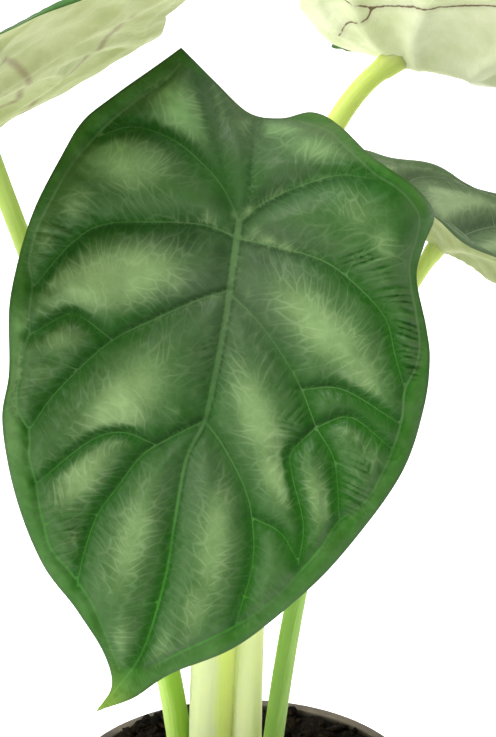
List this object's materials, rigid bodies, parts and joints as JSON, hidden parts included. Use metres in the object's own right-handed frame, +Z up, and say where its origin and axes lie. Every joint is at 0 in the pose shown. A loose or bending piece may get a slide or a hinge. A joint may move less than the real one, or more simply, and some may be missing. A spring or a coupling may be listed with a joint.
{
  "type": "potted alocasia plant",
  "caption": "Potted foliage plant with large shield-shaped, blistered leaves on long upright stalks, rooted in soil in a round tapered nursery pot.",
  "frame": {"origin": "middle of the pot's flat underside", "axes": "+Z up through the plant; -Y is the side that the large front leaf faces; +X to the right seen from there"},
  "size_m": [0.4112, 0.2701, 0.423],
  "materials": {
    "pot": "satin",
    "soil": "matte",
    "corm": "matte",
    "leaf_stalk": "satin",
    "leaf_blade": "satin"
  },
  "bodies": {
    "root": {"pot": "pot", "soil": "soil", "corm": "corm", "petiole_front": "leaf_stalk", "petiole_upper_left": "leaf_stalk", "petiole_upper_right": "leaf_stalk", "petiole_right": "leaf_stalk", "blade_front": "leaf_blade", "blade_upper_left": "leaf_blade", "blade_upper_right": "leaf_blade", "blade_right": "leaf_blade"}
  },
  "joints": []
}
